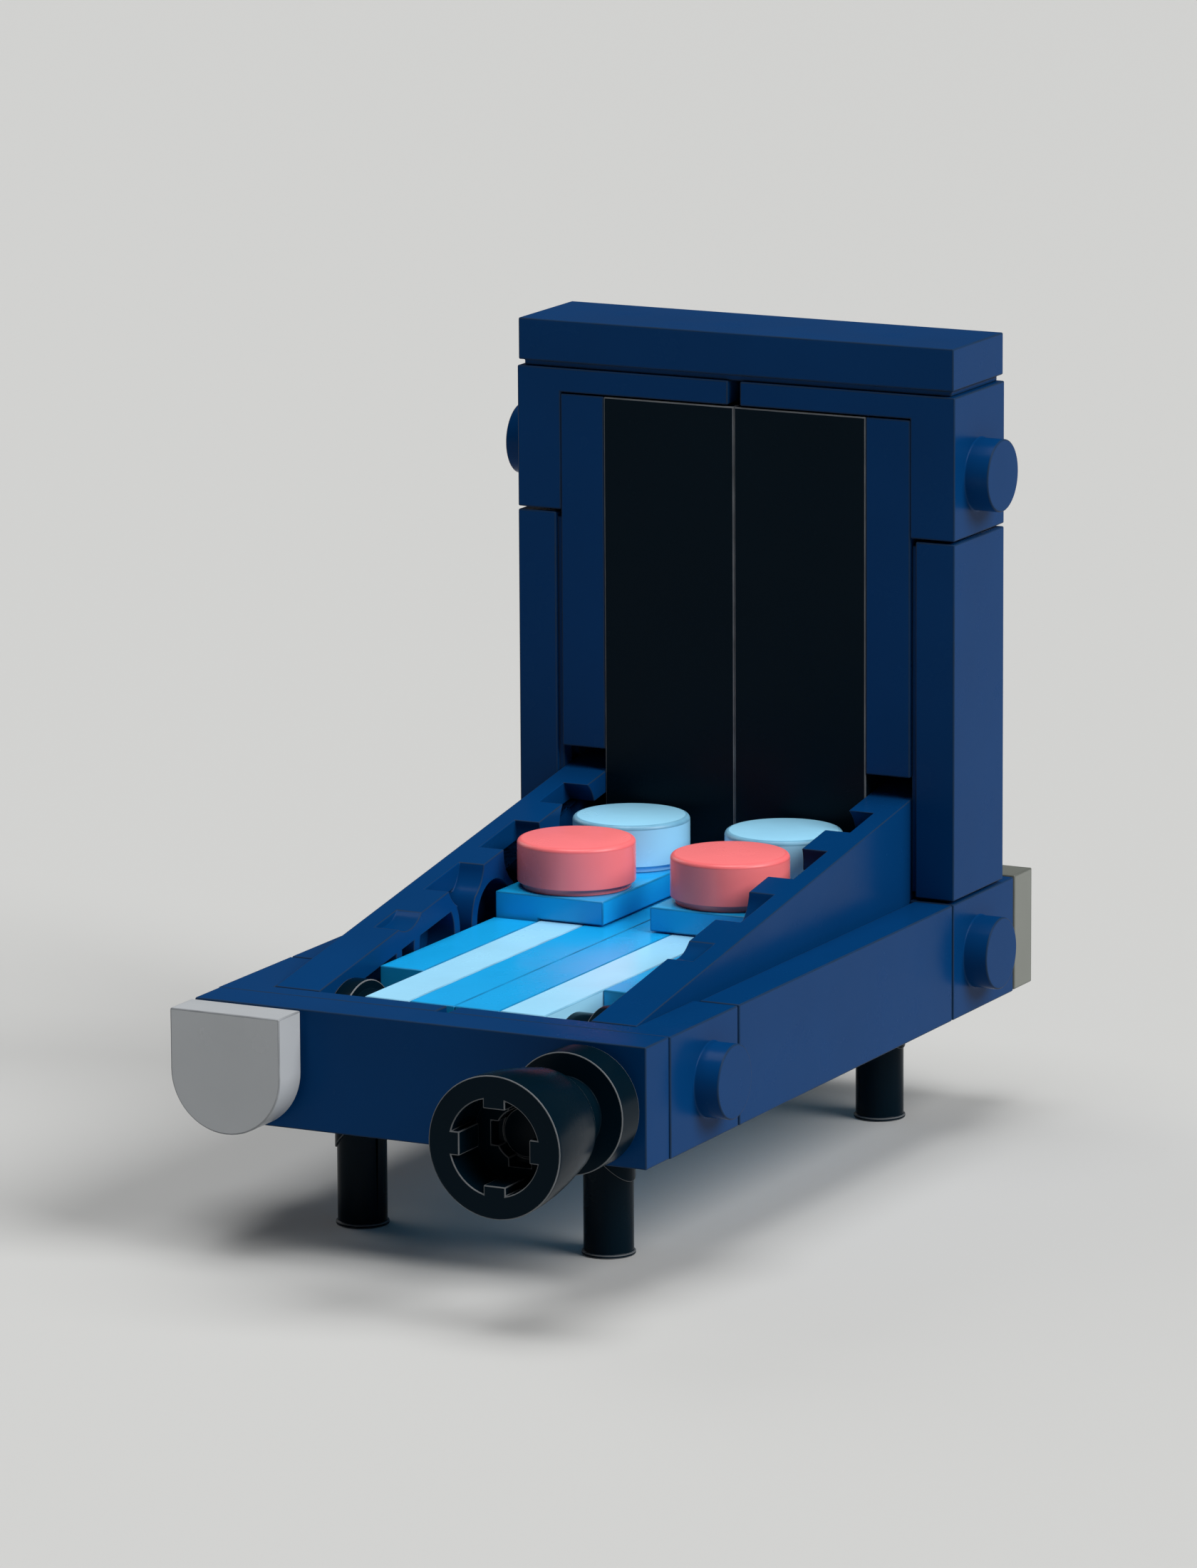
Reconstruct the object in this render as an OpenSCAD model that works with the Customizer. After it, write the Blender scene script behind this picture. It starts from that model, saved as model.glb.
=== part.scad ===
// Desk-top arcade cabinet put together from studded bricks, plates, tiles and brackets.
// Every brick is a separate solid. The two halves are stacked sideways, away from the
// middle plane, and the front plate, rear tile and top tile clasp the halves together.
// Axes: +X to the right, +Y to the back, +Z up. Millimetres.

/* [Brick system] */
// Distance between stud centres. Five plates are always as thick as two pitches.
pitch = 8; // [6.8:0.1:10]
// Diameter of a stud
stud_d = 4.8; // [4:0.1:5]
// Height of a stud
stud_h = 1.7; // [1.2:0.1:1.8]
// Gap left at each side of a brick, so that neighbours never bind
play = 0.1; // [0.04:0.02:0.14]
// Gap between a stud and the socket round it
clearance = 0.05; // [0.02:0.01:0.08]
// Thickness of the skin that carries the studs
roof = 1.2; // [0.8:0.1:1.3]
// Height of the finger groove round the foot of a tile
groove_h = 0.4; // [0.2:0.05:0.6]
// Depth of the finger groove
groove_d = 0.3; // [0.15:0.05:0.5]
// Width of the stud notches in a wedge plate's slanted rim
notch_d = 5.2; // [5:0.1:5.6]
// Depth of those notches
notch_depth = 1.8; // [1.5:0.1:1.9]

/* [Cabinet] */
// Length of the bed, in cells
bed_cells = 6; // [5:1:10]
// Height of the screen, in cells
screen_cells = 4; // [3:1:8]
// Half of the slot between the two brackets of a pair
bracket_gap = 0.45; // [0.1:0.05:0.8]

/* [Legs] */
// Diameter of a leg bar
leg_d = 3.2; // [2.6:0.1:3.6]
// Distance from the underside of the cabinet to the floor
leg_drop = 8; // [5:0.5:12]
// Distance from the underside of the cabinet to the lowest point of a leg's neck
neck_drop = 3.2; // [1.5:0.1:3.5]
// How far the neck and the foot rim stand out of the bar
rim = 0.12; // [0.05:0.01:0.25]
// Distance from the inner face of a wedge plate to the middle of a leg
leg_offset = 0.8; // [0.6:0.05:1]

/* [Plunger knob] */
// Diameter of the knob's front face
knob_front_d = 9; // [8.4:0.1:10]
// Diameter of the knob's rear face
knob_rear_d = 7.2; // [6.5:0.1:8]
// Length of the knob
knob_len = 6.6; // [5.8:0.1:9]
// Space between the knob and the round plate behind it
knob_gap = 3; // [2.1:0.1:4]
// Diameter of the pin that the knob turns on
pin_d = 3.18; // [2.4:0.02:3.3]
// Diameter of the pocket in the knob's face
pocket_d = 6.1; // [5:0.1:6.6]
// Depth of the pocket
pocket_depth = 3.4; // [2:0.1:3.6]
// Width of the four teeth in the pocket, and of the slots in its floor
tooth_w = 1.5; // [1:0.1:2]
// How far the teeth reach into the pocket
tooth_h = 0.65; // [0.3:0.05:0.9]
// Depth of the teeth from the knob's face
tooth_depth = 2.6; // [1:0.1:3]
// Distance across the slots in the pocket's floor
slot_span = 3.9; // [3.5:0.1:4.4]
// Depth of those slots
slot_depth = 1; // [0.4:0.1:1.4]

/* [Hidden] */
$fn = 64;

navy = "#1c3f6e";
azure = "#1b9de0";
pale = "#8ac4e8";
coral = "#ff7478";
black = "#10181c";
grey = "#a3a7aa";
stone = "#737770";

cut = 0.01;                                  // overshoot that keeps a cut's faces clean
plate_h = pitch * 2 / 5;                     // thickness of a plate or tile
brick_h = 3 * plate_h;                       // thickness of a brick
thin_h = plate_h / 2;                        // thickness of a bracket's thin side
socket = stud_d + 2 * clearance;             // width of the hollow that grips a stud
inset = (pitch - socket) / 2;                // from a cell's edge to that hollow
post_d = pitch - stud_d - 2 * clearance;     // post between two sockets of a narrow brick
tube_d = pitch * sqrt(2) - socket;           // tube between four sockets of a wide plate
cell_mid = pitch / 2;
disc_r = pitch / 2 - play;                   // outline of a round plate or tile
disc_step = 0.6;                             // from that outline in to the narrow part
disc_neck_r = disc_r - disc_step;            // narrow lower part of a round plate
base_neck_h = 0.9;                           // height of that part under the knob
leg_neck_h = 2;                              // height of that part on a leg
neck_slant = 45;                             // slope of the neck's lower edge on a leg
token_cap = 0.3;                             // rounding of a token's upper edge

bed_len = bed_cells * pitch;
bed_y = plate_h + thin_h;                    // where the bed starts, behind the front face
screen_y = bed_y + bed_len - pitch;          // front of the screen and its columns
screen_z = pitch;                            // foot of the screen
screen_top = screen_z + screen_cells * pitch;
back_y = bed_y + bed_len + thin_h + plate_h; // rear face of the cabinet
half_w = 2 * pitch;                          // outer face of either side
wedge_x = half_w - 2 * plate_h;              // inner face of a wedge plate
leg_x = wedge_x - leg_offset;                // a leg's bar stands near the stud side
shelf_cells = 2;                             // one for each row of tokens
shelf_y = screen_y - shelf_cells * pitch;
lane_cells = bed_cells - shelf_cells - 2;    // what the legs and shelf leave of the outer lane
door_x = -half_w + cell_mid;
knob_x = half_w - cell_mid;
knob_y = -plate_h - knob_gap;                // rear face of the knob
knob_front = knob_y - knob_len;
pin_hole_d = pin_d + 0.04;                   // snug seat in the round plate
bore_d = pin_d + 2 * clearance;              // running fit in the knob
knob_bands = 8;                              // rings that the knob's side is made of
mid_y = (back_y + knob_front) / 2;           // middle of the whole length

// ---------- shared shapes ----------

module at_origin() translate([0, -mid_y, leg_drop]) children();

module other_side() mirror([1, 0, 0]) children();

// Cylinder that lies along +X
module rod_x(d, h) rotate([0, 90, 0]) cylinder(d = d, h = h);

// Cylinder that lies along -Y, towards the front
module rod_front(d, h) rotate([90, 0, 0]) cylinder(d = d, h = h);

// Rows of studs on the plane x, one for each listed column of each row
module studs(x, columns, rows)
    for (i = columns, k = rows)
        translate([x - cut, (i + 0.5) * pitch, (k + 0.5) * pitch]) rod_x(stud_d, stud_h + cut);

// Outer block of ny by nz cells from x0 to x1, pulled in by an extra margin
module block(ny, nz, x0, x1, margin = 0)
    translate([x0, play + margin, play + margin])
        cube([x1 - x0, ny * pitch - 2 * (play + margin), nz * pitch - 2 * (play + margin)]);

// One-cell-wide plate, tile or brick, ny by nz cells, with its open side at x = 0
module slab(ny, nz, t, columns = [], grooved = false) {
    difference() {
        union() {
            block(ny, nz, grooved ? groove_h : 0, t);
            if (grooved) block(ny, nz, 0, groove_h + cut, groove_d);
            studs(t, columns, [for (k = [0 : nz - 1]) k]);
        }
        translate([-cut, inset, inset])
            cube([t - roof + cut, ny * pitch - 2 * inset, nz * pitch - 2 * inset]);
    }
    for (i = [1 : 1 : ny - 1])
        translate([0, i * pitch, cell_mid]) rod_x(post_d, t - roof + cut);
    for (k = [1 : 1 : nz - 1])
        translate([0, cell_mid, k * pitch]) rod_x(post_d, t - roof + cut);
}

// Plate with a stud on every cell
module plate(ny, nz, t = plate_h) slab(ny, nz, t, [for (i = [0 : ny - 1]) i]);

// Tile: no studs, and a groove round its foot
module tile(ny, nz) slab(ny, nz, plate_h, grooved = true);

// Angle bracket. The thick side stands at x = 0, one cell high, with its studs on +X.
// The thin side lies on top, `reach` cells deep towards -X, with its studs on +Z.
module bracket(ny, reach, slot) {
    rows = [for (i = [0 : ny - 1]) i];
    width = ny * pitch - 2 * play;
    translate([-plate_h, 0, 0]) slab(ny, 1, plate_h, rows);
    translate([-plate_h, play, pitch - play - cut]) cube([plate_h, width, play + 2 * cut]);
    translate([slot - reach * pitch, play, pitch]) cube([reach * pitch - slot, width, thin_h]);
    for (i = rows, k = [0 : reach - 1])
        translate([-(k + 0.5) * pitch, (i + 0.5) * pitch, pitch + thin_h - cut])
            cylinder(d = stud_d, h = stud_h + cut);
}

// Round plate that lies along +X with its open side at x = 0
module round_plate(neck_h) {
    difference() {
        union() {
            rod_x(2 * disc_neck_r, plate_h);
            translate([neck_h, 0, 0]) rod_x(2 * disc_r, plate_h - neck_h);
            translate([plate_h - cut, 0, 0]) rod_x(stud_d, stud_h + cut);
        }
        translate([-cut, 0, 0]) rod_x(socket, plate_h - roof + cut);
    }
}

// ---------- outside of the cabinet ----------

// Front panel: studs only on its two end cells
module front_plate() color(navy)
    translate([-half_w, plate_h, 0]) rotate([0, 0, -90]) slab(4, 1, plate_h, [0, 3]);

module rear_tile() color(stone)
    translate([half_w, back_y - plate_h, 0]) rotate([0, 0, 90]) tile(4, 1);

module top_tile() color(navy)
    translate([half_w, screen_y, screen_top + thin_h]) rotate([0, -90, 0]) tile(1, 4);

module front_bracket() color(navy)
    translate([half_w, bed_y + pitch, 0]) rotate([90, 0, 0]) bracket(1, 2, bracket_gap);

module rear_bracket() color(navy)
    translate([half_w, bed_y + bed_len - pitch, pitch]) rotate([-90, 0, 0])
        bracket(1, 2, bracket_gap);

module top_bracket() color(navy)
    translate([half_w, screen_y, screen_top - pitch]) bracket(1, 2, bracket_gap);

module side_tile() color(navy)
    translate([half_w - plate_h, bed_y + pitch, 0]) tile(bed_cells - 2, 1);

module upright_tile() color(navy)
    translate([half_w - plate_h, screen_y, screen_z]) tile(1, screen_cells - 1);

module column_plate() color(navy)
    translate([wedge_x, screen_y, screen_z + pitch]) plate(1, screen_cells - 1);

module screen_brick() color(black)
    translate([0, screen_y, screen_z]) plate(1, screen_cells, brick_h);

// ---------- wedge plate ----------

// Height of the slanted edge above the foot of the wedge plate at distance y
function slant(y) = pitch + y * pitch / bed_len;
// Drop from the slanted edge to a line parallel to it, m away
function drop(m) = m * sqrt(1 + pow(pitch / bed_len, 2));

module wedge_outline(m)
    polygon([
        [m, m], [bed_len - m, m],
        [bed_len - m, slant(bed_len - m) - drop(m)],
        [m, slant(m) - drop(m)]
    ]);

// Drawn in the Y-Z plane and given its thickness along +X
module side_extrude(t) rotate([90, 0, 90]) linear_extrude(height = t) children();

// Two cells high at the back, one at the front, hollow towards the bed. Half-round
// notches in the slanted rim leave room for the studs of a plate laid against it.
module wedge_plate() color(navy) translate([wedge_x, bed_y, 0]) {
    hollow = plate_h - roof;
    difference() {
        side_extrude(plate_h) wedge_outline(play);
        translate([-cut, 0, 0]) side_extrude(hollow + cut) wedge_outline(inset);
        for (i = [1 : bed_cells - 1])
            translate([-cut, (i + 0.5) * pitch, 1.5 * pitch]) rod_x(notch_d, notch_depth + cut);
    }
    intersection() {
        side_extrude(hollow + cut) wedge_outline(play);
        difference() {
            for (i = [1 : bed_cells - 1]) translate([0, i * pitch, pitch]) rod_x(tube_d, plate_h);
            for (i = [1 : bed_cells - 1])
                translate([-cut, i * pitch, pitch]) rod_x(stud_d, hollow + cut);
            for (i = [1 : bed_cells - 1])
                translate([-cut, (i + 0.5) * pitch, 1.5 * pitch]) rod_x(notch_d, notch_depth + cut);
        }
    }
    studs(plate_h, [for (i = [0 : bed_cells - 1]) i], [0]);
    studs(plate_h, [bed_cells - 1], [1]);
}

// ---------- bed ----------

module centre_lane() color(azure) translate([0, bed_y, 0]) plate(bed_cells, 1);

module pale_lane() color(pale) translate([plate_h, bed_y, 0]) plate(bed_cells, 1);

module outer_lane() color(azure)
    translate([2 * plate_h, bed_y + pitch, 0]) plate(lane_cells, 1);

module shelf_bracket() color(azure)
    translate([wedge_x, shelf_y, 0]) bracket(shelf_cells, 1, play);

// Round tile on a stud of the shelf, counted from the front
module token(row, shade) color(shade)
    translate([wedge_x - cell_mid, shelf_y + (row + 0.5) * pitch, pitch + thin_h]) {
        difference() {
            union() {
                cylinder(r = disc_r - groove_d, h = groove_h + cut);
                translate([0, 0, groove_h]) cylinder(r = disc_r, h = plate_h - groove_h - token_cap);
                translate([0, 0, plate_h - token_cap])
                    cylinder(r1 = disc_r, r2 = disc_r - token_cap, h = token_cap);
            }
            translate([0, 0, -cut]) cylinder(d = socket, h = plate_h - roof + cut);
        }
    }

// ---------- legs ----------

// Round plate on its edge inside the bed, with a bar that points down
module leg(cell) color(black)
    translate([2 * plate_h, bed_y + (cell + 0.5) * pitch, cell_mid]) {
        round_plate(leg_neck_h);
        translate([leg_x - 2 * plate_h, 0, -cell_mid]) {
            // the neck stays clear of the wedge plate beside it
            intersection() {
                translate([0, 0, -play]) cylinder(d = leg_d, h = inset);
                translate([-leg_d, -leg_d, -play])
                    cube([leg_d + wedge_x - leg_x - clearance, 2 * leg_d, inset]);
            }
            translate([0, 0, -leg_drop]) cylinder(d = leg_d, h = leg_drop - play);
            // the thicker neck is cut off on a slant, and reaches lowest on its outer side
            intersection() {
                translate([0, 0, -leg_drop]) cylinder(d = leg_d + 2 * rim, h = leg_drop - play);
                translate([leg_d / 2 + rim, 0, -neck_drop]) rotate([0, neck_slant, 0])
                    translate([-2 * neck_drop, -leg_d, 0])
                        cube([3 * neck_drop, 2 * leg_d, 2 * neck_drop]);
            }
            translate([0, 0, -leg_drop]) cylinder(d = leg_d + 2 * rim, h = 2 * rim);
        }
    }

// ---------- front fittings ----------

module door_outline(m) union() {
    circle(r = pitch / 2 - play - m);
    translate([-pitch / 2 + play + m, 0])
        square([pitch - 2 * (play + m), pitch / 2 - play - m]);
}

// Half-round tile on the left stud of the front plate
module coin_door() color(grey) translate([door_x, 0, cell_mid]) difference() {
    rotate([90, 0, 0]) {
        linear_extrude(height = groove_h + cut) door_outline(groove_d);
        translate([0, 0, groove_h]) linear_extrude(height = plate_h - groove_h) door_outline(0);
    }
    translate([0, cut, 0]) rod_front(socket, plate_h - roof + cut);
}

// Round plate with a hollow stud, on the right stud of the front plate
module plunger_base() color(black) translate([knob_x, 0, cell_mid]) difference() {
    rotate([0, 0, -90]) round_plate(base_neck_h);
    rod_front(pin_hole_d, plate_h + stud_h + cut);
}

module plunger_pin() color(black)
    translate([knob_x, -(plate_h - roof) - clearance, cell_mid])
        rod_front(pin_d, roof + knob_gap + knob_len - pocket_depth - slot_depth);

// Outline of the knob's side: it swells towards the front and ends parallel to the axis
function knob_r(s) = (knob_rear_d + (knob_front_d - knob_rear_d) * sin(90 * s)) / 2;

// Knob that turns on the pin, with a toothed pocket in its face
module plunger_knob() color(black) translate([knob_x, knob_y, cell_mid]) rotate([90, 0, 0]) {
    floor_z = knob_len - pocket_depth;
    difference() {
        rotate_extrude()
            polygon([
                [0, 0],
                for (i = [0 : knob_bands]) [knob_r(i / knob_bands), knob_len * i / knob_bands],
                [0, knob_len]
            ]);
        translate([0, 0, -cut]) cylinder(d = bore_d, h = knob_len);
        for (a = [0, 90]) rotate([0, 0, a])
            translate([-slot_span / 2, -tooth_w / 2, floor_z - slot_depth])
                cube([slot_span, tooth_w, slot_depth + cut]);
        translate([0, 0, floor_z]) difference() {
            cylinder(d = pocket_d, h = pocket_depth + cut);
            for (a = [0 : 90 : 270]) rotate([0, 0, a])
                translate([pocket_d / 2 - tooth_h, -tooth_w / 2, pocket_depth - tooth_depth])
                    cube([tooth_h + cut, tooth_w, tooth_depth + 2 * cut]);
        }
    }
}

// ---------- nodes ----------

at_origin() front_plate();
at_origin() rear_tile();
at_origin() top_tile();
at_origin() other_side() front_bracket();  // front_bracket_left
at_origin() front_bracket();  // front_bracket_right
at_origin() other_side() rear_bracket();  // rear_bracket_left
at_origin() rear_bracket();  // rear_bracket_right
at_origin() other_side() top_bracket();  // top_bracket_left
at_origin() top_bracket();  // top_bracket_right
at_origin() other_side() side_tile();  // side_tile_left
at_origin() side_tile();  // side_tile_right
at_origin() other_side() wedge_plate();  // wedge_plate_left
at_origin() wedge_plate();  // wedge_plate_right
at_origin() other_side() upright_tile();  // upright_tile_left
at_origin() upright_tile();  // upright_tile_right
at_origin() other_side() column_plate();  // column_plate_left
at_origin() column_plate();  // column_plate_right
at_origin() other_side() screen_brick();  // screen_brick_left
at_origin() screen_brick();  // screen_brick_right
at_origin() other_side() centre_lane();  // centre_lane_left
at_origin() centre_lane();  // centre_lane_right
at_origin() other_side() pale_lane();  // pale_lane_left
at_origin() pale_lane();  // pale_lane_right
at_origin() other_side() outer_lane();  // outer_lane_left
at_origin() outer_lane();  // outer_lane_right
at_origin() other_side() shelf_bracket();  // shelf_bracket_left
at_origin() shelf_bracket();  // shelf_bracket_right
at_origin() other_side() token(0, coral);  // front_token_left
at_origin() token(0, coral);  // front_token_right
at_origin() other_side() token(1, pale);  // rear_token_left
at_origin() token(1, pale);  // rear_token_right
at_origin() other_side() leg(0);  // leg_front_left
at_origin() leg(0);  // leg_front_right
at_origin() other_side() leg(bed_cells - 1);  // leg_rear_left
at_origin() leg(bed_cells - 1);  // leg_rear_right
at_origin() coin_door();
at_origin() plunger_base();
at_origin() plunger_pin();
at_origin() plunger_knob();
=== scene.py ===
from math import cos, pi, radians, sin

import bmesh
import bpy
from bpy.props import FloatProperty, FloatVectorProperty, IntProperty, PointerProperty
from mathutils import Matrix, Vector


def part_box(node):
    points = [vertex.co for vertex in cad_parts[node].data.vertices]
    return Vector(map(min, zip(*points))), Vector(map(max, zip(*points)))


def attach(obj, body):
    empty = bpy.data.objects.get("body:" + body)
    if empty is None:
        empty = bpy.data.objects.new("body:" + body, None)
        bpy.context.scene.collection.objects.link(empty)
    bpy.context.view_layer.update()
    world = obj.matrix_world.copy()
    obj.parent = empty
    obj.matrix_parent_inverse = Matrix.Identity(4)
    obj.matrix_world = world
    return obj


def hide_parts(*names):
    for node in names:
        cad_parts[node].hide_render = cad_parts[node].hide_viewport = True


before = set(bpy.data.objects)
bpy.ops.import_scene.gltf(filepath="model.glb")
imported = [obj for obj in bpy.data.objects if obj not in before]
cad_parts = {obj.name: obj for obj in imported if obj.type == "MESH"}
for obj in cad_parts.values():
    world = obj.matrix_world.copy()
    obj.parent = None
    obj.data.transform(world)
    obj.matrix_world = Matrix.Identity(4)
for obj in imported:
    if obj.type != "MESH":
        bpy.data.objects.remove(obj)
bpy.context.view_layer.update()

bl_info = {
    "name": "Desk-top arcade cabinet",
    "version": (1, 0, 0),
    "blender": (4, 5, 0),
    "location": "View3D > Sidebar > Arcade",
    "description": "Finishes the moulded bricks, tokens and fittings of a small arcade cabinet",
    "category": "Add Mesh",
}

CABINET = "cabinet"
MM = 0.001
MERGE_DISTANCE = 0.002 * MM     # corners of loose triangles closer than this are one
FLAT_ANGLE = radians(1)         # faces that meet at less than this are one flat face
CREASE_ANGLE = radians(30)      # sharper edges than this are rounded off
SMOOTH_ANGLE = radians(50)      # sharper edges than this stay creased in the shading

# Waves per metre of the patterns in the plastic
DRIFT_SCALE = 110               # slow drift of the colour
SMUDGE_SCALE = 260              # handling marks in the gloss
EDGE_PATCH_SCALE = 420                 # patches in the painted edge tone and in the rubbed gloss
RIPPLE_SCALE = 900              # shallow waves of a moulded face
GRAIN_SCALE = 14000             # fine grain of the mould
RIPPLE_DEPTH = 0.004 * MM
GRAIN_DEPTH = 0.0006 * MM
NOISE_SPAN = (0.3, 0.7)         # part of a noise's range that holds most of it
EDGE_PATCH_SPAN = (0.55, 1.0)          # least and most of the painted edge tone and rubbed gloss along an edge
GLOSS_SPAN = (-0.03, 0.05)      # how far smudges move the roughness
RUBBED_ROUGHNESS = 0.14         # extra roughness of a rubbed edge
PATTERN_STEP = 0.013            # shift between the patterns of two plastics, in metres

# Painted tone on each plastic's rounded edges: a painted highlight on the black, painted shade
# on the others
PAINTED_EDGE_TONES = {
    "navy": (0.014, 0.030, 0.058), "azure": (0.004, 0.13, 0.28), "pale": (0.10, 0.28, 0.42),
    "coral": (0.80, 0.13, 0.14), "black": (0.17, 0.18, 0.19), "grey": (0.15, 0.16, 0.17),
    "stone": (0.08, 0.085, 0.075),
}
DARK_PLASTICS = ("navy", "black")

# Where each soft light stands, as a direction from the cabinet
SIDE_SOURCE = (0.78, -0.04, 0.62)
TOP_SOURCE = (0.00, -0.04, 1.00)
REAR_SOURCE = (-0.85, 0.28, 0.45)
SKY_COLOUR = (0.95, 0.97, 1.0)
FLOOR_SIDES = 64
FLOOR_ROUGHNESS = 0.8
FLOOR_REFLECTION = 0.2
CLIP_START, CLIP_END = 0.01, 50


# ---------- sizes and colours ----------

class CabinetSizes(bpy.types.PropertyGroup):
    """Sizes of the roundings and of the turned pieces."""
    edge_round: FloatProperty(
        name="Brick edge", description="Radius of the rounding along a brick's edges",
        default=0.1 * MM, min=0.02 * MM, max=0.3 * MM, precision=5, unit="LENGTH")
    fine_round: FloatProperty(
        name="Fine edge", description="Radius of the rounding on legs, notches and teeth",
        default=0.07 * MM, min=0.01 * MM, max=0.2 * MM, precision=5, unit="LENGTH")
    round_steps: IntProperty(
        name="Rounding steps", description="Number of strips that make one rounding",
        default=3, min=1, max=6)
    turn_steps: IntProperty(
        name="Turning steps", description="Number of steps in one turn of a round piece",
        default=96, min=24, max=160)
    token_edge: FloatProperty(
        name="Token edge", description="Radius of the rounding round the top of a token",
        default=0.3 * MM, min=0.05 * MM, max=0.6 * MM, precision=5, unit="LENGTH")
    token_wall: FloatProperty(
        name="Token wall", description="Thickness of a token's round wall",
        default=1.45 * MM, min=0.5 * MM, max=2 * MM, precision=5, unit="LENGTH")
    token_roof: FloatProperty(
        name="Token top", description="Thickness of a token's top",
        default=1.2 * MM, min=0.5 * MM, max=2 * MM, precision=5, unit="LENGTH")
    foot_height: FloatProperty(
        name="Foot groove height", description="Height of the groove round a token's foot",
        default=0.4 * MM, min=0.1 * MM, max=0.8 * MM, precision=5, unit="LENGTH")
    foot_depth: FloatProperty(
        name="Foot groove depth", description="Depth of the groove round a token's foot",
        default=0.3 * MM, min=0.1 * MM, max=0.6 * MM, precision=5, unit="LENGTH")


class PlasticFinishes(bpy.types.PropertyGroup):
    """Colours of the moulded plastics and how they shine."""
    navy: FloatVectorProperty(
        name="Cabinet blue", description="Colour of the cabinet's outside",
        default=(0.0010, 0.0355, 0.1300), min=0, max=1, subtype="COLOR")
    azure: FloatVectorProperty(
        name="Lane blue", description="Colour of the lanes and the shelf",
        default=(0.008, 0.38, 0.80), min=0, max=1, subtype="COLOR")
    pale: FloatVectorProperty(
        name="Pale blue", description="Colour of the pale lanes and the rear tokens",
        default=(0.34, 0.72, 0.97), min=0, max=1, subtype="COLOR")
    coral: FloatVectorProperty(
        name="Coral", description="Colour of the front tokens",
        default=(1.0, 0.215, 0.225), min=0, max=1, subtype="COLOR")
    black: FloatVectorProperty(
        name="Black", description="Colour of the screen, legs and plunger",
        default=(0.0008, 0.0066, 0.0125), min=0, max=1, subtype="COLOR")
    grey: FloatVectorProperty(
        name="Light grey", description="Colour of the coin door",
        default=(0.43, 0.45, 0.47), min=0, max=1, subtype="COLOR")
    stone: FloatVectorProperty(
        name="Stone grey", description="Colour of the rear tile",
        default=(0.165, 0.175, 0.155), min=0, max=1, subtype="COLOR")
    roughness: FloatProperty(
        name="Roughness", description="Roughness of an untouched moulded face",
        default=0.24, min=0.05, max=0.8)
    sheen_level: FloatProperty(
        name="Reflection", description="Strength of the reflection on light plastics",
        default=0.35, min=0, max=1)
    dark_sheen_level: FloatProperty(
        name="Dark reflection", description="Strength of the reflection on dark plastics",
        default=0.045, min=0, max=1)
    mottle: FloatProperty(
        name="Mottle", description="How far the colour drifts over a moulded face",
        default=0.045, min=0, max=0.5)
    # Strength of the painted edge tone: a painted highlight on the black, painted shade on the
    # other plastics
    wear: FloatProperty(
        name="Painted edges", description="How strongly the painted highlight and shade show on the edges",
        default=0.9, min=0, max=1)


class StageSettings(bpy.types.PropertyGroup):
    """Camera, lights and floor."""
    azimuth: FloatProperty(
        name="Camera azimuth", description="Angle of the camera round the cabinet, to the right",
        default=radians(26.973), subtype="ANGLE")
    elevation: FloatProperty(
        name="Camera elevation", description="Angle of the camera above the horizon",
        default=radians(11.796), subtype="ANGLE")
    roll: FloatProperty(
        name="Camera roll", description="Turn of the camera about its own line of sight",
        default=radians(-0.328), subtype="ANGLE")
    distance: FloatProperty(
        name="Camera distance", description="Distance from the camera to its target",
        default=0.6054, min=0.2, unit="LENGTH")
    target: FloatVectorProperty(
        name="Camera target", description="Point that the camera looks at",
        default=(0.00098, 0.00070, 0.02678), precision=5, subtype="TRANSLATION", unit="LENGTH")
    lens: FloatProperty(
        name="Lens", description="Focal length on a sensor 36 mm long",
        default=216.73, min=20, max=1000)
    floor_radius: FloatProperty(
        name="Floor radius", description="Radius of the floor",
        default=6.0, min=1, unit="LENGTH")
    floor_colour: FloatVectorProperty(
        name="Floor", description="Colour of the floor",
        default=(0.51, 0.51, 0.50), min=0, max=1, subtype="COLOR")
    sky: FloatProperty(
        name="Surroundings", description="Brightness of the light from all round",
        default=0.05, min=0, max=5)
    key: FloatProperty(
        name="Side light", description="Strength of the soft light from the right",
        default=3.0, min=0)
    overhead: FloatProperty(
        name="Top light", description="Strength of the soft light from overhead",
        default=1.8, min=0)
    rim: FloatProperty(
        name="Rear light", description="Strength of the soft light from the left rear",
        default=0.5, min=0)
    softness: FloatProperty(
        name="Softness", description="Width of each light, as seen from the cabinet",
        default=radians(38), min=0, max=pi, subtype="ANGLE")


# ---------- materials ----------

def noise(nodes, links, coords, scale, detail=2.0, rough=0.5):
    """Noise texture on the piece's own coordinates, in metres."""
    n = nodes.new("ShaderNodeTexNoise")
    n.inputs["Scale"].default_value = scale
    n.inputs["Detail"].default_value = detail
    n.inputs["Roughness"].default_value = rough
    links.new(coords, n.inputs["Vector"])
    return n.outputs["Fac"]


def ranged(nodes, links, value, span, to_span):
    """Map Range node from one span to another."""
    n = nodes.new("ShaderNodeMapRange")
    for key, number in zip(("From Min", "From Max", "To Min", "To Max"), (*span, *to_span)):
        n.inputs[key].default_value = number
    links.new(value, n.inputs["Value"])
    return n.outputs["Result"]


def blended(nodes, links, factor, colour_a, colour_b):
    """Mix of two colours, each a socket or a plain colour."""
    n = nodes.new("ShaderNodeMix")
    n.data_type = "RGBA"
    links.new(factor, n.inputs["Factor"])
    for key, colour in (("A", colour_a), ("B", colour_b)):
        socket = next(s for s in n.inputs if s.name == key and s.type == "RGBA")
        if isinstance(colour, bpy.types.NodeSocket):
            links.new(colour, socket)
        else:
            socket.default_value = (*colour, 1)
    return next(s for s in n.outputs if s.type == "RGBA")


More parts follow.
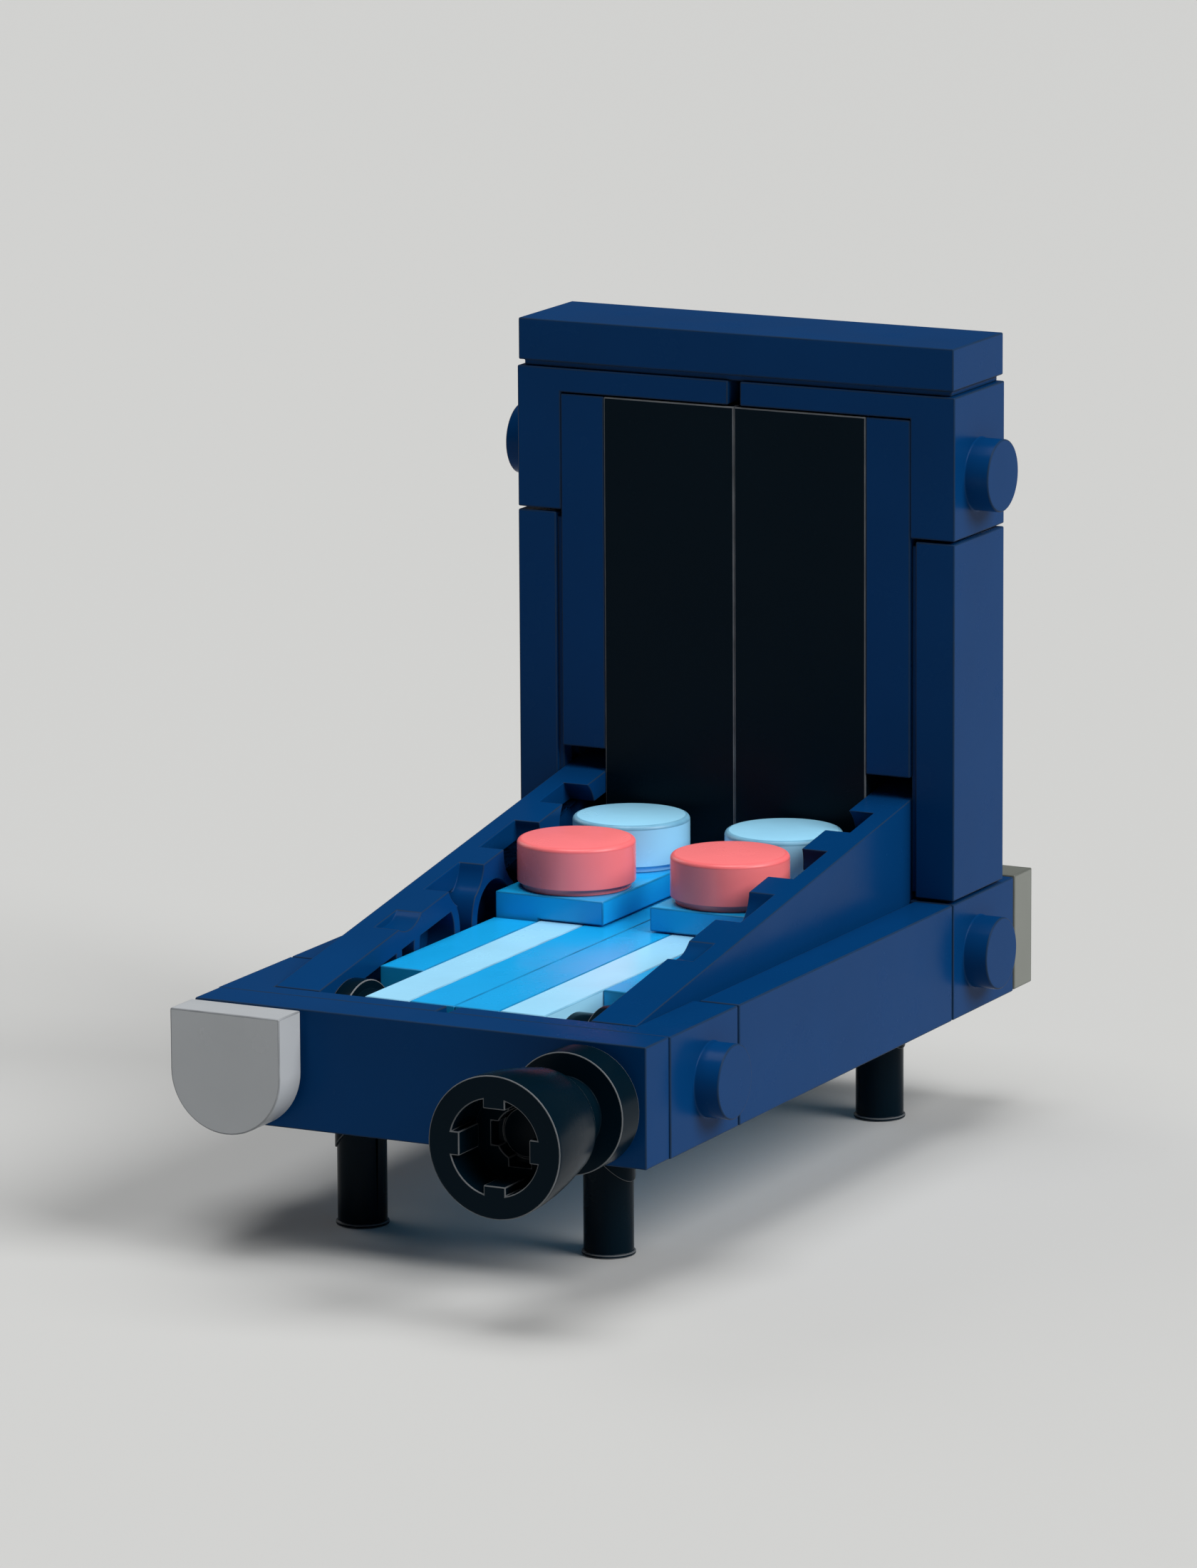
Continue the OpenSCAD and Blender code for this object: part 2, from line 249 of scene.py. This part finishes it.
def joined(nodes, links, operation, value_a, value_b):
    """Math node on two values."""
    n = nodes.new("ShaderNodeMath")
    n.operation = operation
    links.new(value_a, n.inputs[0])
    links.new(value_b, n.inputs[1])
    return n.outputs[0]


def bump(nodes, links, height, depth):
    """Bump node of full strength, its depth in metres."""
    n = nodes.new("ShaderNodeBump")
    n.inputs["Strength"].default_value = 1.0
    n.inputs["Distance"].default_value = depth
    links.new(height, n.inputs["Height"])
    return n


def plastic(name, colour, painted_edge_colour, shift, sheen_level):
    """Moulded plastic: a slow drift of colour, smudges in the gloss, fine grain, and rougher
    rounded edges with a painted highlight on the black and painted shade on the other plastics."""
    look = bpy.context.scene.plastic_finishes
    mat = bpy.data.materials.new(name)
    mat.use_nodes = True
    nodes, links = mat.node_tree.nodes, mat.node_tree.links
    shader = nodes["Principled BSDF"]
    place = nodes.new("ShaderNodeMapping")
    place.inputs["Location"].default_value = (shift, 2 * shift, -shift)
    links.new(nodes.new("ShaderNodeTexCoord").outputs["Object"], place.inputs["Vector"])
    coords = place.outputs["Vector"]

    drift = noise(nodes, links, coords, DRIFT_SCALE, 3)
    dark = tuple(c * (1 - look.mottle) for c in colour)
    light = tuple(min(1, c * (1 + look.mottle)) for c in colour)
    body = blended(nodes, links, ranged(nodes, links, drift, NOISE_SPAN, (0, 1)), dark, light)

    # Painted edge tone along the rounded edges, broken up in patches: a painted highlight on the
    # black, painted shade on the other plastics
    edge = nodes.new("ShaderNodeAttribute")
    edge.attribute_name = "edge_wear"
    edge_patches = ranged(nodes, links, noise(nodes, links, coords, EDGE_PATCH_SCALE, 3), NOISE_SPAN, EDGE_PATCH_SPAN)
    painted_and_rubbed = joined(nodes, links, "MULTIPLY", edge.outputs["Fac"], edge_patches)
    amount = ranged(nodes, links, painted_and_rubbed, (0, 1), (0, look.wear))
    links.new(blended(nodes, links, amount, body, painted_edge_colour), shader.inputs["Base Color"])

    smudge = noise(nodes, links, coords, SMUDGE_SCALE, 4, 0.6)
    gloss = ranged(nodes, links, smudge, NOISE_SPAN, [look.roughness + g for g in GLOSS_SPAN])
    rubbed = ranged(nodes, links, painted_and_rubbed, (0, 1), (0, RUBBED_ROUGHNESS))
    links.new(joined(nodes, links, "ADD", gloss, rubbed), shader.inputs["Roughness"])

    ripple = bump(nodes, links, noise(nodes, links, coords, RIPPLE_SCALE), RIPPLE_DEPTH)
    grain = bump(nodes, links, noise(nodes, links, coords, GRAIN_SCALE), GRAIN_DEPTH)
    links.new(ripple.outputs["Normal"], grain.inputs["Normal"])
    links.new(grain.outputs["Normal"], shader.inputs["Normal"])
    shader.inputs["Specular IOR Level"].default_value = sheen_level
    return mat


MATERIALS = {}


def finish_named(name):
    """The material of one plastic, made the first time it is asked for."""
    if name not in MATERIALS:
        look = bpy.context.scene.plastic_finishes
        sheen = look.dark_sheen_level if name in DARK_PLASTICS else look.sheen_level
        shift = PATTERN_STEP * (1 + len(MATERIALS))
        MATERIALS[name] = plastic(f"{name}_plastic", tuple(getattr(look, name)),
                                  PAINTED_EDGE_TONES[name], shift, sheen)
    return MATERIALS[name]


# ---------- mesh helpers ----------

def node_copy(node):
    """Working copy of a CAD node, its triangles merged into whole flat faces."""
    bm = bmesh.new()
    bm.from_mesh(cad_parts[node].data)
    bmesh.ops.remove_doubles(bm, verts=bm.verts, dist=MERGE_DISTANCE)
    bmesh.ops.dissolve_limit(bm, angle_limit=FLAT_ANGLE, verts=bm.verts, edges=bm.edges)
    return bm


def sharp_edges(bm):
    """Edges where two faces meet at more than the crease angle."""
    return [e for e in bm.edges if e.is_manifold and e.calc_face_angle() > CREASE_ANGLE]


def round_edges(bm, radius, steps, edges):
    """Rounds the given edges, and marks the outer roundings for the painted edge tone and the
    rubbed gloss.
    """
    layer = (bm.faces.layers.float.get("edge_wear")
             or bm.faces.layers.float.new("edge_wear"))
    made = bmesh.ops.bevel(bm, geom=edges, offset=radius, offset_type="OFFSET",
                           segments=steps, profile=0.5, affect="EDGES", material=-1,
                           clamp_overlap=False)
    for face in made["faces"]:
        bulge = sum(e.calc_face_angle_signed(0) for e in face.edges)
        face[layer] = 1.0 if bulge > 0 else 0.0


def add_piece(name, bm, finish, body, nodes):
    """Turns a bmesh into a piece that rides on a body and stands for CAD nodes."""
    bmesh.ops.recalc_face_normals(bm, faces=bm.faces)
    mesh = bpy.data.meshes.new(name)
    bm.to_mesh(mesh)
    bm.free()
    mesh.shade_smooth()
    mesh.set_sharp_from_angle(angle=SMOOTH_ANGLE)
    piece = bpy.data.objects.new(name, mesh)
    bpy.context.scene.collection.objects.link(piece)
    mesh.materials.append(finish_named(finish))
    weighted = piece.modifiers.new("Even shading", "WEIGHTED_NORMAL")
    weighted.keep_sharp = True
    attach(piece, body)
    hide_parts(*nodes)


def moulded(node, finish, radius=None, body=CABINET):
    """A CAD node with its edges rounded as they leave the mould."""
    size = bpy.context.scene.cabinet_sizes
    bm = node_copy(node)
    round_edges(bm, radius or size.edge_round, size.round_steps, sharp_edges(bm))
    add_piece(f"{node}_moulding", bm, finish, body, [node])


def both_sides(stem, finish, radius=None):
    """The left and right one of a pair of moulded nodes."""
    for side in ("left", "right"):
        moulded(f"{stem}_{side}", finish, radius)


# ---------- operators ----------

class ARCADE_OT_panels(bpy.types.Operator):
    """Front plate, rear tile and top tile, which clasp the two halves together"""
    bl_idname = "arcade.panels"
    bl_label = "Panels"

    def execute(self, context):
        moulded("front_plate", "navy")
        moulded("rear_tile", "stone")
        moulded("top_tile", "navy")
        return {"FINISHED"}


class ARCADE_OT_brackets(bpy.types.Operator):
    """Six angle brackets at the corners of the cabinet"""
    bl_idname = "arcade.brackets"
    bl_label = "Corner brackets"

    def execute(self, context):
        for stem in ("front_bracket", "rear_bracket", "top_bracket"):
            both_sides(stem, "navy")
        return {"FINISHED"}


class ARCADE_OT_side_tiles(bpy.types.Operator):
    """Smooth tiles along the sides and up the columns"""
    bl_idname = "arcade.side_tiles"
    bl_label = "Side tiles"

    def execute(self, context):
        both_sides("side_tile", "navy")
        both_sides("upright_tile", "navy")
        return {"FINISHED"}


class ARCADE_OT_wedge_plates(bpy.types.Operator):
    """Sloping wedge plates on either side of the bed, with their notched rims"""
    bl_idname = "arcade.wedge_plates"
    bl_label = "Wedge plates"

    def execute(self, context):
        both_sides("wedge_plate", "navy", context.scene.cabinet_sizes.fine_round)
        return {"FINISHED"}


class ARCADE_OT_screen(bpy.types.Operator):
    """Black screen bricks and the columns beside them"""
    bl_idname = "arcade.screen"
    bl_label = "Screen and columns"

    def execute(self, context):
        both_sides("column_plate", "navy")
        both_sides("screen_brick", "black")
        return {"FINISHED"}


class ARCADE_OT_lanes(bpy.types.Operator):
    """Striped lanes of the bed and the raised shelf at their end"""
    bl_idname = "arcade.lanes"
    bl_label = "Lanes and shelf"

    def execute(self, context):
        both_sides("centre_lane", "azure")
        both_sides("pale_lane", "pale")
        both_sides("outer_lane", "azure")
        both_sides("shelf_bracket", "azure")
        return {"FINISHED"}


class ARCADE_OT_tokens(bpy.types.Operator):
    """Round tokens that turn on the studs of the shelf"""
    bl_idname = "arcade.tokens"
    bl_label = "Tokens"

    def execute(self, context):
        size = context.scene.cabinet_sizes
        for row, finish in (("front", "coral"), ("rear", "pale")):
            for side in ("left", "right"):
                node = f"{row}_token_{side}"
                self.turn(node, finish, size)
        return {"FINISHED"}

    def turn(self, node, finish, size):
        """One token: half its section, spun about its own axis and rounded."""
        low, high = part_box(node)
        centre = (low + high) / 2
        radius, height = (high.x - low.x) / 2, high.z - low.z
        bore = radius - size.token_wall
        outline = [(0, height - size.token_roof), (bore, height - size.token_roof),
                   (bore, 0), (radius - size.foot_depth, 0),
                   (radius - size.foot_depth, size.foot_height),
                   (radius, size.foot_height), (radius, height), (0, height)]
        bm = bmesh.new()
        points = [bm.verts.new((r, 0, z)) for r, z in outline]
        line = [bm.edges.new(pair) for pair in zip(points, points[1:])]
        bmesh.ops.spin(bm, geom=points + line, cent=(0, 0, 0), axis=(0, 0, 1), dvec=(0, 0, 0),
                       angle=2 * pi, steps=size.turn_steps, use_merge=True)
        bmesh.ops.remove_doubles(bm, verts=bm.verts, dist=MERGE_DISTANCE)
        bmesh.ops.recalc_face_normals(bm, faces=bm.faces)
        top = [e for e in sharp_edges(bm)
               if min(v.co.z for v in e.verts) > height - size.fine_round]
        round_edges(bm, size.token_edge, 2 * size.round_steps, top)
        round_edges(bm, size.fine_round, size.round_steps, sharp_edges(bm))
        bmesh.ops.translate(bm, verts=bm.verts, vec=(centre.x, centre.y, low.z))
        add_piece(f"{node}_disc", bm, finish, node, [node])


class ARCADE_OT_legs(bpy.types.Operator):
    """Four legs, each a bar under a round plate"""
    bl_idname = "arcade.legs"
    bl_label = "Legs"

    def execute(self, context):
        fine = context.scene.cabinet_sizes.fine_round
        for end in ("front", "rear"):
            both_sides(f"leg_{end}", "black", fine)
        return {"FINISHED"}


class ARCADE_OT_coin_door(bpy.types.Operator):
    """Half-round coin door that turns on the front plate's left stud"""
    bl_idname = "arcade.coin_door"
    bl_label = "Coin door"

    def execute(self, context):
        moulded("coin_door", "grey", body="coin_door")
        return {"FINISHED"}


class ARCADE_OT_plunger(bpy.types.Operator):
    """Plunger: round plate, pin and the knob with its toothed pocket"""
    bl_idname = "arcade.plunger"
    bl_label = "Plunger"

    def execute(self, context):
        fine = context.scene.cabinet_sizes.fine_round
        moulded("plunger_base", "black", fine)
        moulded("plunger_pin", "black", fine)
        moulded("plunger_knob", "black", fine, body="plunger_knob")
        return {"FINISHED"}


class ARCADE_OT_stage(bpy.types.Operator):
    """Pale floor, soft lights and the camera"""
    bl_idname = "arcade.stage"
    bl_label = "Stage"

    def execute(self, context):
        stage = context.scene.stage_settings
        self.floor(stage)
        self.sky(context, stage)
        self.lamp("side_light", stage.key, stage.softness, SIDE_SOURCE)
        self.lamp("top_light", stage.overhead, stage.softness, TOP_SOURCE)
        self.lamp("rear_light", stage.rim, stage.softness, REAR_SOURCE)
        self.camera(context, stage)
        return {"FINISHED"}

    def floor(self, stage):
        """Wide round floor in plain matt paint."""
        bm = bmesh.new()
        bmesh.ops.create_circle(bm, cap_ends=True, segments=FLOOR_SIDES,
                                radius=stage.floor_radius)
        mesh = bpy.data.meshes.new("floor")
        bm.to_mesh(mesh)
        bm.free()
        floor = bpy.data.objects.new("floor", mesh)
        bpy.context.scene.collection.objects.link(floor)
        mat = bpy.data.materials.new("floor_paint")
        mat.use_nodes = True
        shader = mat.node_tree.nodes["Principled BSDF"]
        shader.inputs["Base Color"].default_value = (*stage.floor_colour, 1)
        shader.inputs["Roughness"].default_value = FLOOR_ROUGHNESS
        shader.inputs["Specular IOR Level"].default_value = FLOOR_REFLECTION
        mesh.materials.append(mat)

    def sky(self, context, stage):
        """Faint even light from all round."""
        world = bpy.data.worlds.new("studio")
        world.use_nodes = True
        glow = world.node_tree.nodes["Background"]
        glow.inputs["Color"].default_value = (*SKY_COLOUR, 1)
        glow.inputs["Strength"].default_value = stage.sky
        context.scene.world = world

    def lamp(self, name, strength, width, source):
        """Wide sun lamp that shines from a point towards the cabinet."""
        light = bpy.data.lights.new(name, "SUN")
        light.energy = strength
        light.angle = width
        lamp = bpy.data.objects.new(name, light)
        lamp.location = source
        lamp.rotation_euler = (-lamp.location).to_track_quat("-Z", "Y").to_euler()
        bpy.context.scene.collection.objects.link(lamp)

    def camera(self, context, stage):
        """Camera from its two angles, its roll and its distance to the target."""
        a, e, r = stage.azimuth, stage.elevation, stage.roll
        forward = Vector((-sin(a) * cos(e), cos(a) * cos(e), -sin(e)))
        level = Vector((cos(a), sin(a), 0))
        upright = level.cross(forward)
        right = cos(r) * level + sin(r) * upright
        up = cos(r) * upright - sin(r) * level
        data = bpy.data.cameras.new("camera")
        data.lens = stage.lens
        data.clip_start, data.clip_end = CLIP_START, CLIP_END
        camera = bpy.data.objects.new("camera", data)
        turn = Matrix((right, up, -forward)).transposed().to_4x4()
        where = Vector(stage.target) - stage.distance * forward
        camera.matrix_world = Matrix.Translation(where) @ turn
        context.scene.collection.objects.link(camera)
        context.scene.camera = camera
        context.scene.view_settings.view_transform = "Standard"


OPERATORS = (
    ARCADE_OT_panels, ARCADE_OT_brackets, ARCADE_OT_side_tiles, ARCADE_OT_wedge_plates,
    ARCADE_OT_screen, ARCADE_OT_lanes, ARCADE_OT_tokens, ARCADE_OT_legs,
    ARCADE_OT_coin_door, ARCADE_OT_plunger, ARCADE_OT_stage,
)
GROUPS = (
    ("cabinet_sizes", CabinetSizes), ("plastic_finishes", PlasticFinishes),
    ("stage_settings", StageSettings),
)


class ARCADE_PT_panel(bpy.types.Panel):
    """Lists the sizes, the colours and the pieces"""
    bl_idname = "ARCADE_PT_panel"
    bl_label = "Arcade cabinet"
    bl_space_type = "VIEW_3D"
    bl_region_type = "UI"
    bl_category = "Arcade"

    def draw(self, context):
        for name, group in GROUPS:
            box = self.layout.box()
            for key in group.__annotations__:
                box.prop(getattr(context.scene, name), key)
        for operator in OPERATORS:
            self.layout.operator(operator.bl_idname)


def register():
    """Adds the settings to the scene, and the operators and the panel."""
    for name, group in GROUPS:
        bpy.utils.register_class(group)
        setattr(bpy.types.Scene, name, PointerProperty(type=group))
    for cls in (*OPERATORS, ARCADE_PT_panel):
        bpy.utils.register_class(cls)


def unregister():
    """Takes all of it away again."""
    for cls in (ARCADE_PT_panel, *reversed(OPERATORS)):
        bpy.utils.unregister_class(cls)
    for name, group in reversed(GROUPS):
        delattr(bpy.types.Scene, name)
        bpy.utils.unregister_class(group)


def main():
    register()
    for operator in OPERATORS:
        family, name = operator.bl_idname.split(".")
        getattr(getattr(bpy.ops, family), name)()


if __name__ == "__main__":
    main()
